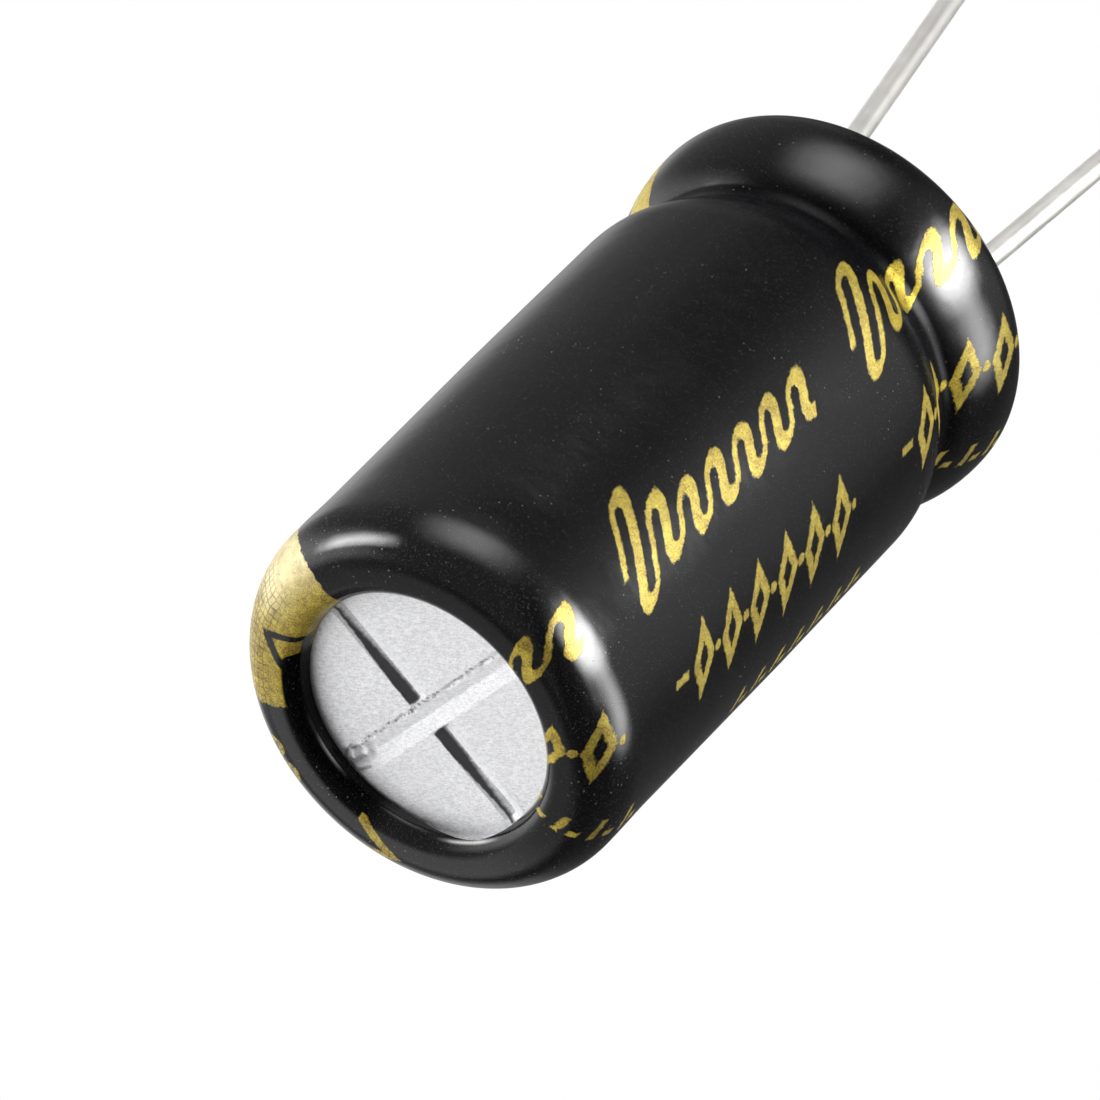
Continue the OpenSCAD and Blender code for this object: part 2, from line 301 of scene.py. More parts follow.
# Shader maths: a socket with the usual operators
class Sock:
    def __init__(self, tree, out):
        self.tree = tree
        self.out = out

    def math(self, op, *values):
        return node(self.tree, "ShaderNodeMath", 0, {"operation": op}, **by_place(values))

    def vector(self, op, *values, output=0, **inputs):
        return node(self.tree, "ShaderNodeVectorMath", output, {"operation": op},
                    **by_place(values), **inputs)

    def __add__(self, other):
        return self.math("ADD", self, other)

    def __radd__(self, other):
        return self.math("ADD", other, self)

    def __sub__(self, other):
        return self.math("SUBTRACT", self, other)

    def __rsub__(self, other):
        return self.math("SUBTRACT", other, self)

    def __mul__(self, other):
        return self.math("MULTIPLY", self, other)

    def __rmul__(self, other):
        return self.math("MULTIPLY", other, self)

    def __truediv__(self, other):
        return self.math("DIVIDE", self, other)

    def __rtruediv__(self, other):
        return self.math("DIVIDE", other, self)

    def __neg__(self):
        return self.math("MULTIPLY", self, -1.0)

    def __abs__(self):
        return self.math("ABSOLUTE", self)

    def sin(self):
        return self.math("SINE", self)

    def sqrt(self):
        return self.math("SQRT", self)

    def min(self, other):
        return self.math("MINIMUM", self, other)

    def max(self, other):
        return self.math("MAXIMUM", self, other)

    def wrap(self, low, high):
        return self.math("WRAP", self, high, low)

    # Smooth step from low at a to high at b
    def step(self, a, b, low=0.0, high=1.0):
        if a > b:
            a, b, low, high = b, a, high, low
        return node(self.tree, "ShaderNodeMapRange", 0, {"interpolation_type": "SMOOTHSTEP"},
                    Value=self, From_Min=a, From_Max=b, To_Min=low, To_Max=high)

    # Straight blend between two colours
    def mix(self, a, b):
        a, b = (c if isinstance(c, Sock) else (*c, 1.0) for c in (a, b))
        return node(self.tree, "ShaderNodeMix", 2, {"data_type": "RGBA"}, i0=self, i6=a, i7=b)

    def noise(self, scale, detail=2.0, rough=0.5):
        return node(self.tree, "ShaderNodeTexNoise", Vector=self, Scale=scale, Detail=detail,
                    Roughness=rough)

    def cells(self, scale):
        return node(self.tree, "ShaderNodeTexVoronoi", Vector=self, Scale=scale)

    def stretch(self, x, y, z):
        return self.vector("MULTIPLY", self, (x, y, z))

    def part(self, axis):
        return node(self.tree, "ShaderNodeSeparateXYZ", axis, Vector=self)


def hypot(a, b):
    return (a * a + b * b).sqrt()


# Product of the steps of one value
def window(value, *steps):
    out = value.step(*steps[0])
    for s in steps[1:]:
        out = out * value.step(*s)
    return out


# New material with its tree, its shader and a place on the part in millimetres
class Finish:
    DULL_GLOSS = 0.08

    def __init__(self, name, **fixed):
        self.material = bpy.data.materials.new(name)
        self.material.use_nodes = True
        self.tree = self.material.node_tree
        self.shader = self.tree.nodes["Principled BSDF"]
        for k, v in fixed.items():
            self.shader.inputs[k.replace("_", " ")].default_value = v
        on_part = node(self.tree, "ShaderNodeTexCoord", "Object")
        self.place = on_part.vector("SCALE", on_part, Scale=1.0 / MM)

    def wire(self, socket, value):
        self.tree.links.new(value.out, self.shader.inputs[socket])

    # Height in millimetres to the shader's normal
    def bump(self, height):
        self.wire("Normal", node(self.tree, "ShaderNodeBump", Strength=1.0, Distance=MM, Height=height))

    # Same finish with little gloss where the mask says, once all else is wired
    def dull(self, mask):
        shared = {}
        for name in ("Base_Color", "Roughness", "Metallic", "Normal"):
            link = self.shader.inputs[name.replace("_", " ")].links[0]
            shared[name] = Sock(self.tree, link.from_socket)
        other = node(self.tree, "ShaderNodeBsdfPrincipled", Specular_IOR_Level=self.DULL_GLOSS, **shared)
        glossy = Sock(self.tree, self.shader.outputs[0])
        mixed = node(self.tree, "ShaderNodeMixShader", i0=mask, i1=glossy, i2=other)
        self.tree.links.new(mixed.out, self.tree.nodes["Material Output"].inputs["Surface"])


# Printed sleeve: black shrink film with gold marks under its gloss.
# Places on it are an azimuth in degrees and a run along the film in millimetres,
# which is minus the height on the body and goes on over the crown, from -18 to -22.
# A step is written as where it begins, where it ends, and the values there unless 0 and 1.
PRINT_R = 5.15
MM_PER_DEGREE = PRINT_R * math.pi / 180
REPEAT = 10.75
EDGE = 0.03
FEATHER = 0.05
RAGGED_COARSE = 0.12
RAGGED_FINE = 0.07

WAVE_AT = 36.5
WAVE_START = -17.3
WAVE_LEAN = 0.77
WAVE_PITCH = 0.64
WAVE_INSET = 0.22
WAVE_BEGIN = 0.02
WAVE_END = 9.0
WAVE_UP = (2.9, 0.0, 0.16, 1.20)
WAVE_DOWN = (1.9, 0.3, 0.14, 1.15)
WAVE_TAIL_ALONG = (0.50, 0.46)
WAVE_TAIL_ACROSS = (-0.05, -0.15)
WAVE_WOBBLE = 0.16
WAVE_PEN = 0.150
WAVE_SWELL = 0.050

# A block is its middle along and across the row, and half its width and height
LOZENGE_AT = 2.0
LOZENGE_START = -17.1
LOZENGE_LEAN = 0.30
LOZENGE_PITCH = 1.30
LOZENGE_BEGIN = 0.85
LOZENGE_END = 8.55
LOZENGE_MID = 0.48
LOZENGE_HALF = 0.44
LOZENGE_TALL = 0.92
LOZENGE_RING = 0.76
LOZENGE_SCALE = 0.37
LOZENGE_PEN = 0.115
DOT_MID = 1.12
DOT_R = 0.13
DASH = (0.35, 0.0, 0.27, 0.10)

BARS_AT = -28.0
BARS_START = -13.9
BARS_PITCH = 0.92
BARS_END = 6.3
TALL_BAR = (0.22, 0.0, 0.085, 0.36)
LOW_BAR = (0.62, -0.2, 0.13, 0.10)

PEAKS_AT = 244.0
PEAKS_START = -21.5
PEAKS_PITCH = 2.15
PEAKS_END = 8.6
PEAK_MID = 0.9
PEAK_HALF = 0.62
PEAK_TALL = 1.35
PEAK_FOOT = 0.55
PEAK_SCALE = 0.42
PEAK_PEN = 0.13

RINGS_AT = 207.0
RINGS_START = -20.9
RINGS_PITCH = 1.45
RINGS_END = 8.7
RING_MID = 0.6
RING_SIDE = 0.42
RING_R = 0.26
RING_PEN = 0.085

STRIPE_AT = 159.0
STRIPE_HALF = 23.0
STRIPE_SHIFT = 4.0
STRIPE_SPREAD = 9.0
STRIPE_SHRUNK = (-18.0, -21.0)
STRIPE_REACH = (150.0, 166.0, -23.2, -21.2)
TRIANGLE_AT = 158.0
TRIANGLE_START = -22.0
TRIANGLE_PITCH = REPEAT / 2
TRIANGLE_INSET = 0.3
TRIANGLE_PEN = 0.13
STRIPE_BAR = (3.55, 0.4, 0.34, 1.15)

CROWN = (-18.2, -19.6)
# Painted sheen on the crown: the stretch of film and the turns where it pales the gold
SHEEN_RUN = (-21.3, -20.2)
SHEEN_TURN = ((158.0, 142.0), (110.0, 125.0))
CRAZE_RUN = (-21.3, -20.4)
CRAZE_TURN = (136.0, 146.0)
CRAZE_LINE = (0.70, 0.97)
CRAZE_ROUND = 2.1
CRAZE_ALONG = 40.0
GROOVE_RUN = ((-5.1, -4.5), (-2.1, -2.8))
GROOVE_TURN = ((-34.0, -18.0), (112.0, 96.0))
INNER_LIP_RUN = (-21.00, -21.22)
INNER_LIP_TURN = ((156.0, 164.0), (250.0, 238.0))
RING_TOP_RUN = ((-21.35, -21.12), (-20.45, -20.75))
RING_TOP_TURN = ((-75.0, -30.0), (170.0, 135.0))
RING_TOP_DULL = 0.75

BLACK = (0.0016, 0.0016, 0.0020)
DUST = (0.24, 0.24, 0.245)
GOLD_DARK = (0.17, 0.110, 0.016)
GOLD_MID = (0.43, 0.325, 0.040)
GOLD_PALE = (0.63, 0.52, 0.080)
# Whitish gold of the painted sheen
GOLD_SHEEN = (0.86, 0.76, 0.46)


# Place on the film, and ink with a ragged edge
class Print:
    def __init__(self, place):
        self.place = place
        uv = node(place.tree, "ShaderNodeUVMap", 0, {"uv_map": "print"})
        self.az = uv.part("X") * 360.0 + Lathe.SEAM
        self.s = uv.part("Y") * Lathe.RUN - Lathe.START
        coarse = (place.noise(6.0, 2.0) - 0.5) * RAGGED_COARSE
        self.ragged = coarse + (place.noise(24.0, 1.0) - 0.5) * RAGGED_FINE

    # Distance along a row in one repeat, and across it
    def row(self, at, start, lean):
        across = (self.az - at) * MM_PER_DEGREE
        return (self.s - lean * across - start).wrap(0.0, REPEAT), across

    # Ink where the distance to a mark's edge is below nothing
    def ink(self, off, ragged=1.0):
        return (off + self.ragged * ragged).step(EDGE, -EDGE)


def between(value, low, high):
    return window(value, (low, low + FEATHER), (high, high - FEATHER))


def block(along, across, mid, level, half, tall):
    return (abs(along - mid) - half).max(abs(across - level) - tall)


# A winding line with round bends, tall at its start
def winding_line(film):
    along, across = film.row(WAVE_AT, WAVE_START, WAVE_LEAN)
    across = across + (film.place.noise(1.6, 1.0) - 0.5) * WAVE_WOBBLE
    half = WAVE_PITCH / 2
    upper = (along - half - WAVE_INSET).wrap(-WAVE_PITCH, WAVE_PITCH)
    lower = (along + half - WAVE_INSET).wrap(-WAVE_PITCH, WAVE_PITCH)
    tall_up = (along - upper).step(*WAVE_UP)
    tall_down = (along - lower).step(*WAVE_DOWN)
    off_up = abs(hypot(upper, (across - tall_up).max(0.0)) - half)
    off_down = abs(hypot(lower, (-across - tall_down).max(0.0)) - half)
    above = across.step(-0.01, 0.01)
    off = off_up * above + off_down * (1.0 - above)
    pen = WAVE_PEN + WAVE_SWELL * (upper * (math.pi / WAVE_PITCH)).sin()
    tail = along.step(*WAVE_TAIL_ALONG) * across.step(*WAVE_TAIL_ACROSS)
    return film.ink(off - pen) * between(along, WAVE_BEGIN, WAVE_END) * (1.0 - tail)


# Open lozenges and dots in turn, after one dash
def lozenges(film):
    along, across = film.row(LOZENGE_AT, LOZENGE_START, LOZENGE_LEAN)
    cell = (along - LOZENGE_BEGIN).wrap(0.0, LOZENGE_PITCH)
    shape = abs(cell - LOZENGE_MID) / LOZENGE_HALF + abs(across) / LOZENGE_TALL
    open_shape = abs(shape - LOZENGE_RING) * LOZENGE_SCALE - LOZENGE_PEN
    dot = hypot(cell - DOT_MID, across) - DOT_R
    marks = film.ink(open_shape.min(dot)) * between(along, LOZENGE_BEGIN, LOZENGE_END)
    return marks.max(film.ink(block(along, across, *DASH)))


# Long and short bars in turn
def bars(film):
    along, across = film.row(BARS_AT, BARS_START, LOZENGE_LEAN)
    cell = along.wrap(0.0, BARS_PITCH)
    both = block(cell, across, *TALL_BAR).min(block(cell, across, *LOW_BAR))
    return film.ink(both) * between(along, 0.0, BARS_END)


# Open peaks on the far side
def peaks(film):
    along, across = film.row(PEAKS_AT, PEAKS_START, 0.0)
    off_mid = abs(along.wrap(0.0, PEAKS_PITCH) - PEAK_MID)
    line = across + PEAK_FOOT - PEAK_TALL * (1.0 - off_mid / PEAK_HALF)
    peak = film.ink(abs(line) * PEAK_SCALE - PEAK_PEN, 0.6)
    peak = peak * across.step(-0.62, -0.56) * off_mid.step(0.72, 0.68)
    return peak * between(along, 0.0, PEAKS_END)


# Pairs of small rings on the far side
def ring_pairs(film):
    along, across = film.row(RINGS_AT, RINGS_START, 0.0)
    side = (across + RING_SIDE).wrap(-RING_SIDE, RING_SIDE)
    off = hypot(along.wrap(0.0, RINGS_PITCH) - RING_MID, side) - RING_R
    rings = film.ink(abs(off) - RING_PEN, 0.7) * between(along, 0.0, RINGS_END)
    return rings * abs(across).step(0.86, 0.82)


# Polarity stripe, wider where the film shrank onto the closed end, with triangles and bars
def polarity_stripe(film):
    shrunk = film.s.step(*STRIPE_SHRUNK)
    across = (film.az - STRIPE_AT + STRIPE_SHIFT * shrunk) * MM_PER_DEGREE
    stripe = film.ink(abs(across) - (STRIPE_HALF + STRIPE_SPREAD * shrunk) * MM_PER_DEGREE, 1.6)
    across = (film.az - TRIANGLE_AT) * MM_PER_DEGREE
    cell = (film.s - TRIANGLE_START).wrap(0.0, TRIANGLE_PITCH) - TRIANGLE_INSET
    inside = (-across - (1.0 - cell) * 0.45).max(across * 0.55 + cell - 1.0).max(-cell)
    outline = film.ink(abs(inside) - TRIANGLE_PEN, 0.6) * cell.step(2.2, 2.1)
    bar = film.ink(block(cell, across, *STRIPE_BAR), 0.6)
    reach = film.az.step(*STRIPE_REACH)
    return stripe * (1.0 - outline.max(bar)) * (film.s - reach).step(-0.03, 0.03)


def printed_sleeve():
    f = Finish("sleeve_print", IOR=1.5)
    film = Print(f.place)
    az = film.az
    s = film.s
    crown = s.step(*CROWN)

    # Worn and mottled ink, with fine cracks where the film shrank most, and a painted sheen that pales
    # it on part of the crown
    speckle = f.place.noise(34.0, 3.0, 0.7)
    cloud = f.place.noise(3.2, 3.0, 0.6)
    flake = f.place.cells(22.0)
    tone = (speckle * 1.5 + cloud * 0.8 + flake * 0.35 - 0.80 - crown * 0.10).step(0.1, 1.0)
    colour = tone.step(0.0, 0.5).mix(GOLD_DARK, GOLD_MID)
    colour = tone.step(0.5, 1.0).mix(colour, GOLD_PALE)
    # Painted sheen: the gold turns whitish on part of the crown, standing in for a reflection
    painted_sheen = crown * s.step(*SHEEN_RUN) * window(az, *SHEEN_TURN)
    colour = (painted_sheen * (0.22 + cloud * 0.7)).mix(colour, GOLD_SHEEN)
    pin = f.place.noise(18.0, 3.0, 0.75).step(0.59, 0.68)
    drift = (f.place.noise(2.5, 2.0) - 0.5) * 8.0
    around = (az * CRAZE_ROUND + drift).sin().step(*CRAZE_LINE)
    down = (s * CRAZE_ALONG + drift).sin().step(*CRAZE_LINE)
    craze = around.max(down) * crown * az.step(*CRAZE_TURN) * s.step(*CRAZE_RUN)
    gold = winding_line(film)
    for marks in (lozenges, bars, peaks, ring_pairs, polarity_stripe):
        gold = gold.max(marks(film))
    gold = gold * (1.0 - pin * 0.75) * (1.0 - craze * 0.6)

    # Dust and rubbed lines on the black film
    dusty = (f.place.noise(0.7, 2.0) + crown * 0.10).step(0.50, 0.68)
    dots = f.place.cells(5.0).step(0.13, 0.07) * dusty * 0.6
    dust = (f.place.noise(60.0, 1.0, 0.5) + crown * 0.02).step(0.715, 0.78).max(dots)
    rub = f.place.stretch(1.0, 1.0, 0.14).noise(26.0, 2.0, 0.6).step(0.69, 0.80)
    f.wire("Base Color", gold.mix((dust * 0.8 + rub * 0.04).mix(BLACK, DUST), colour))
    f.wire("Metallic", gold * 0.30)

    # Gloss, with the film dull in the groove, inside the lip and on one side of the crown's ring
    smear = f.place.noise(0.55, 3.0, 0.6)
    groove = window(s, *GROOVE_RUN) * window(az, *GROOVE_TURN)
    inner_lip = s.step(*INNER_LIP_RUN) * window(az, *INNER_LIP_TURN)
    ring_top = window(s, *RING_TOP_RUN) * window(az, *RING_TOP_TURN)
    rough = 0.06 + smear * 0.10 + rub * 0.10 + dust * 0.3 + groove * 0.12
    f.wire("Roughness", rough + gold * (0.20 + speckle * 0.12))
    peel = f.place.noise(1.1, 2.0) * 0.010 + f.place.noise(4.5, 2.0) * 0.0012 + speckle * 0.0004
    f.bump(peel + gold * 0.002 + dust * 0.002 - rub * 0.0006)
    f.dull(groove.max(inner_lip).max(ring_top * RING_TOP_DULL))
    return f.material


# Cut edge and inner face of the film
def cut_sleeve():
    f = Finish("sleeve_cut", Base_Color=(0.012, 0.012, 0.013, 1.0), IOR=1.5)
    grain = f.place.noise(14.0, 3.0, 0.6)
    f.wire("Roughness", 0.35 + grain * 0.25)
    f.bump(grain * 0.006)
    return f.material


# Bare aluminium of the can: satin, with the fine grain and bright flecks of rolled sheet,
# and painted shade on the deep wall of one score line, along the ticks of the other and round its
# crumpled end.
# Places of the marks are in millimetres along the wide line and across it.
CAN_GREY = (0.56, 0.56, 0.575)
CAN_PALE = (0.86, 0.86, 0.875)
# Colour of the painted shade in the score lines
SCORE_SHADE = (0.040, 0.040, 0.044)
ROLLING_TURN = 35.0
DEEP_AT = -0.31
DEEP_TAPER = ((3.35, 0.7, 0.04, 0.15), (-3.0, -0.9, 0.05, 0.15))
DEEP_END = (3.36, 3.28)
CROSSING_AT = -0.11
CROSSING_HALF = (0.36, 0.46)
TICKS_AT = 0.22
TICKS_HALF = 0.045
TICKS_END = (3.30, 3.20)
RIM_AT = (-2.86, -0.02)
RIM_HALF = (0.44, 0.34)
RIM_SIDE = (-2.70, -2.85)
RIM_END = (3.42, 3.36)
PALE_WALL = ((-0.17, -0.11), (0.30, 0.24))


def can_metal():
    f = Finish("can_metal")
    grain = f.place.noise(26.0, 3.0, 0.7)
    coarse = f.place.noise(7.0, 2.0, 0.5)
    turned = node(f.tree, "ShaderNodeVectorRotate", 0, {"rotation_type": "Z_AXIS"}, Vector=f.place,
                  Angle=math.radians(SCORE_TURN + ROLLING_TURN))
    rolled = turned.stretch(1.0, 0.28, 1.0).noise(26.0, 2.0, 0.6)
    spark = rolled.step(0.64, 0.74)
    tone = (grain * 0.45 + coarse * 0.15 + rolled * 0.4).step(0.36, 0.64)

    # Painted shade on the deep wall of one line, along the ticks of the other and round its crumpled end
    turn = math.radians(SCORE_TURN)
    x = f.place.part("X")
    y = f.place.part("Y")
    u = x * math.cos(turn) + y * math.sin(turn)
    v = y * math.cos(turn) - x * math.sin(turn)
    from_middle = hypot(u, v)
    rag = (coarse - 0.5) * 0.14 + (grain - 0.5) * 0.06
    half = v.step(*DEEP_TAPER[0]).min(v.step(*DEEP_TAPER[1]))
    off = u - DEEP_AT
    deep = (off + half + rag * 0.4).step(-0.03, 0.02) * (off - half + rag * 0.5).step(0.06, -0.07)
    deep = deep * (abs(v - CROSSING_AT) + rag).step(*CROSSING_HALF) * from_middle.step(*DEEP_END)
    ticks = (abs(v - TICKS_AT + rag) - TICKS_HALF).step(0.03, -0.02)
    ticks = ticks * f.place.noise(8.0, 1.0).step(0.53, 0.60) * from_middle.step(*TICKS_END)
    end = hypot((u - RIM_AT[0]) / RIM_HALF[0], (v - RIM_AT[1]) / RIM_HALF[1])
    rim = abs(end - 1.0 + rag).step(0.16, 0.04) * u.step(*RIM_SIDE) * from_middle.step(*RIM_END)
    # Painted shade: dark colour on the deep wall, along the ticks and round the crumpled end
    painted_shade = deep.max(ticks * 0.6).max(rim * 0.6)
    pale_wall = window(v, *PALE_WALL)
    f.wire("Base Color", painted_shade.mix(tone.mix(CAN_GREY, CAN_PALE), SCORE_SHADE))
    f.wire("Metallic", (0.20 + tone * 0.10) * (1.0 - painted_shade.max(pale_wall * 0.7) * 0.9))
    f.wire("Roughness", 0.34 + grain * 0.12 - spark * 0.18 + painted_shade * 0.3)
    f.bump(grain * 0.012 + rolled * 0.014 + coarse * 0.008)
    return f.material


# Tinned wire with faint drawn lines and a dull bloom
def tinned_wire():
    f = Finish("tinned_wire")
    lines = f.place.stretch(1.0, 1.0, 0.03).noise(14.0, 3.0, 0.6)
    bloom = f.place.noise(1.3, 3.0, 0.6)
    f.wire("Base Color", bloom.mix((0.60, 0.585, 0.555), (0.76, 0.745, 0.71)))
    f.wire("Metallic", 0.50 + lines * 0.15)
    f.wire("Roughness", 0.24 + bloom * 0.14 + lines * 0.06)
    f.bump(lines * 0.004 + bloom * 0.002)
    return f.material


# Moulded rubber with fine grain and a pale bloom
def seal_rubber():
    f = Finish("seal_rubber", IOR=1.5)
    grain = f.place.noise(7.0, 4.0, 0.6)
    bloom = f.place.noise(0.9, 3.0, 0.6).step(0.45, 0.75)
    f.wire("Base Color", bloom.mix((0.011, 0.011, 0.012), (0.035, 0.034, 0.034)))
    f.wire("Roughness", 0.55 + grain * 0.2)
    f.bump(grain * 0.02)
    return f.material


# Drawn aluminium of the tabs
def tab_metal():
    f = Finish("tab_metal", Metallic=1.0)
    lines = f.place.stretch(1.0, 1.0, 0.05).noise(18.0, 3.0, 0.6)
    f.wire("Base Color", lines.mix((0.62, 0.63, 0.65), (0.80, 0.81, 0.82)))
    f.wire("Roughness", 0.30 + lines * 0.2)
    f.bump(lines * 0.006)
    return f.material


# Etched foil: matt grey with the grain of the etch
def etched_foil(name, dark, light):
    f = Finish(name, Metallic=0.6)
    etch = f.place.noise(30.0, 4.0, 0.7)
    f.wire("Base Color", etch.mix(dark, light))
    f.wire("Roughness", 0.60 + etch * 0.2)
    f.bump(etch * 0.006)
    return f.material


# Soaked separator paper with short fibres
def paper(name, dark, light):
    f = Finish(name, IOR=1.45)
    fibre = f.place.stretch(1.0, 1.0, 4.0).noise(5.0, 4.0, 0.7)
    wet = f.place.noise(0.6, 2.0, 0.5)
    f.wire("Base Color", (fibre * 0.7 + wet * 0.3).mix(dark, light))
    f.wire("Roughness", 0.55 + fibre * 0.3)
    f.bump(fibre * 0.01)
    return f.material


# Amber film of the closing tape, slightly rippled
def tape_film():
    f = Finish("closing_tape_film", IOR=1.5)
    ripple = f.place.stretch(0.2, 0.2, 1.0).noise(2.5, 2.0, 0.5)
    f.wire("Base Color", ripple.mix((0.42, 0.26, 0.05), (0.62, 0.42, 0.12)))
    f.wire("Roughness", 0.22 + ripple * 0.2)
    f.bump(ripple * 0.01)
    return f.material


# How far the film runs over the edge of the recess and down its wall, in millimetres along the film
LIP_ROWS = 22
LIP_LONG = 0.85
LIP_SHORT = 0.50
LIP_BARE_AT = -72.0
LIP_BARE_WIDTH = 30.0


def lip_reach(deg):
    off = (deg - LIP_BARE_AT + 180.0) % 360.0 - 180.0
    wave = 0.012 * math.sin(math.radians(deg * 3)) + 0.008 * math.sin(math.radians(deg * 7 + 40))
    return LIP_LONG + wave - (LIP_LONG - LIP_SHORT) * math.exp(-(off / LIP_BARE_WIDTH) ** 2)


# Point of the film at a distance along it from the top of the lip, at offset o from the can
def lip_point(o, run):
    r = LIP_R + o
    turn = min(run / (LIP_R + SLEEVE_WALL), math.pi / 2)
    down = max(0.0, run - (LIP_R + SLEEVE_WALL) * math.pi / 2)
    return (lip_c[0] - r * math.sin(turn), lip_c[1] + r * math.cos(turn) - down)


# Sleeve as a finer turned piece of the same form
def make_sleeve(skin, cut):
    fold_a = -90 - FOLD_TURN
    thick = SLEEVE_WALL + SLEEVE_GAIN
    outer = closed_end(thick, 90) + fade(FADE_ROWS) + open_end(SLEEVE_WALL, fold_a)
    outer = with_rows(outer, SLEEVE_ROW)
    inner = with_rows(closed_end(0, 90, INNER_STEP) + open_end(0, fold_a, INNER_STEP), INNER_ROW)
    run = run_of(outer, shoulder_c[1])
    turned = Lathe()

    def lip_ring(o, part):
        def at(deg):
            reach = lip_reach(deg) * part
            return *lip_point(o, reach), run[0] - reach
        return turned.shaped_ring(at)

    out_rings = [lip_ring(thick, 1 - i / LIP_ROWS) for i in range(LIP_ROWS)]
    out_rings += [turned.ring(*p, s) for p, s in zip(outer, run)]
    in_rings = [lip_ring(0, 1 - i / LIP_ROWS) for i in range(0, LIP_ROWS, 2)]
    in_rings += [turned.ring(*p, run[0]) for p in inner]
    turned.bands(out_rings, 0)
    turned.bands(in_rings, 1)
    turned.band(out_rings[0], in_rings[0], 1)
    turned.band(out_rings[-1], in_rings[-1], 1)
    return piece("sleeve_film", turned.finish("sleeve_film", 35.0), [skin, cut], ["sleeve"])


# Score lines as the punch left them: edge, valley and far edge across each line, with its depth
LINE_WIDE = (-0.50, -0.13, 0.27, 0.13)
LINE_DARK = (-0.46, -0.15, 0.18, 0.16)
LINE_BLEND = 0.07

# Ticks of the punch along the upper edge of the wide line
TICK_PITCH = 0.115
TICK_SIZE = 0.05
TICK_CLEAR = 0.3

# Crumpled metal at one end of the wide line, and a torn facet at one end of the other
CRUMPLE_AT = (-2.88, 0.0)
CRUMPLE_HALF = (0.70, 0.48)
CRUMPLE_TALL = 0.15
FACET_AT = (0.06, -2.75)
FACET_HALF = (0.30, 0.55)
FACET_SLOPE = 0.14
FACET_RISE = 0.12
CALM_EDGE = 0.10

# Lines of the panel's mesh: a fine stretch over the score lines and even steps beyond it
FINE_FROM = -0.62
FINE_TO = 0.421
FINE_STEP = 0.0295
FAR_TO = -0.63
FAR_FROM = 0.47
FAR_STEP = 0.055
LINE_APART = 0.012
PANEL_MARGIN = 0.03


def valley(across, line):
    low, mid, high, depth = line
    if across < mid:
        return depth * max(0.0, (across - low) / (mid - low))
    return depth * max(0.0, (high - across) / (high - mid))


# Even spread of numbers from 0 to 1, the same in each run
def chance(k, seed):
    return math.sin(k * 12.9898 + seed * 78.233) * 43758.5453 % 1.0


# Share of a mark at a point, from 1 at its middle to 0 at its edge
def nearness(u, v, at, half):
    return max(0.0, 1 - math.hypot((u - at[0]) / half[0], (v - at[1]) / half[1]))


# Height of the vent panel over its face at a point in millimetres
def panel_height(x, y):
    t = math.radians(SCORE_TURN)
    u = x * math.cos(t) + y * math.sin(t)
    v = -x * math.sin(t) + y * math.cos(t)
    r = math.hypot(x, y)
    end = max(0.0, min(1.0, (panel_r - SCORE_EDGE - r) / SCORE_DEPTH))
    wide = valley(v, LINE_WIDE) * end
    dark = valley(u, LINE_DARK) * end
    inside = max(0.0, 1 - max(LINE_WIDE[0] - v, v - LINE_WIDE[2], 0.0) / LINE_BLEND)
    depth = max(wide, dark * (1 - inside))
    k = math.floor(u / TICK_PITCH)
    off = (v - LINE_WIDE[2] + TICK_SIZE + TICK_SIZE * chance(k, 2)) / TICK_SIZE
    tick = TICK_SIZE * chance(k, 5) ** 2 * math.exp(-off * off) * (abs(u) > TICK_CLEAR)
    folds = math.sin(10 * u + 6 * v) * math.cos(12 * v - 4 * u)
    crumple = CRUMPLE_TALL * nearness(u, v, CRUMPLE_AT, CRUMPLE_HALF) * folds
    facet = FACET_SLOPE * nearness(u, v, FACET_AT, FACET_HALF) * (u - FACET_AT[0] + FACET_RISE)
    wave = 0.004 * math.sin(1.7 * x + 0.9 * y) + 0.003 * math.sin(2.6 * y - 1.1 * x)
    calm = min(1.0, max(0.0, (panel_r - r) / CALM_EDGE))
    return (-depth - tick + crumple + facet + wave) * calm


# Places of the mesh lines, with one along both edges and the valley of the score lines
def panel_grid():
    fine = list(np.arange(FINE_FROM, FINE_TO, FINE_STEP))
    far = list(np.arange(-panel_r, FAR_TO, FAR_STEP)) + list(np.arange(FAR_FROM, panel_r, FAR_STEP))
    keep = [*LINE_WIDE[:3], LINE_DARK[0], LINE_DARK[2]]
    fine = [f for f in fine if min(abs(f - k) for k in keep) > LINE_APART]
    return sorted(float(f) for f in fine + far + keep)


# Face of the panel inside its outer ring, with its lines along the cross
def fill_panel(turned, rim):
    t = math.radians(SCORE_TURN)
    points = [Vector((v.co.x / MM, v.co.y / MM)) for v in rim]
    n = len(points)
    lines = panel_grid()
    for u in lines:
        for v in lines:
            if math.hypot(u, v) < panel_r - PANEL_MARGIN:
                x = u * math.cos(t) - v * math.sin(t)
                y = u * math.sin(t) + v * math.cos(t)
                points.append(Vector((x, y)))
    edges = [(i, (i + 1) % n) for i in range(n)]
    places, _, faces, sources, _, _ = delaunay_2d_cdt(points, edges, [], 1, 1e-6)
    verts = []
    for p, source in zip(places, sources):
        on_rim = [k for k in source if k < n]
        if on_rim:
            verts.append(rim[on_rim[0]])
        else:
            verts.append(turned.vert(p.x, p.y, panel_z + panel_height(p.x, p.y)))
    for face in faces:
        turned.bm.faces.new([verts[i] for i in face]).smooth = True


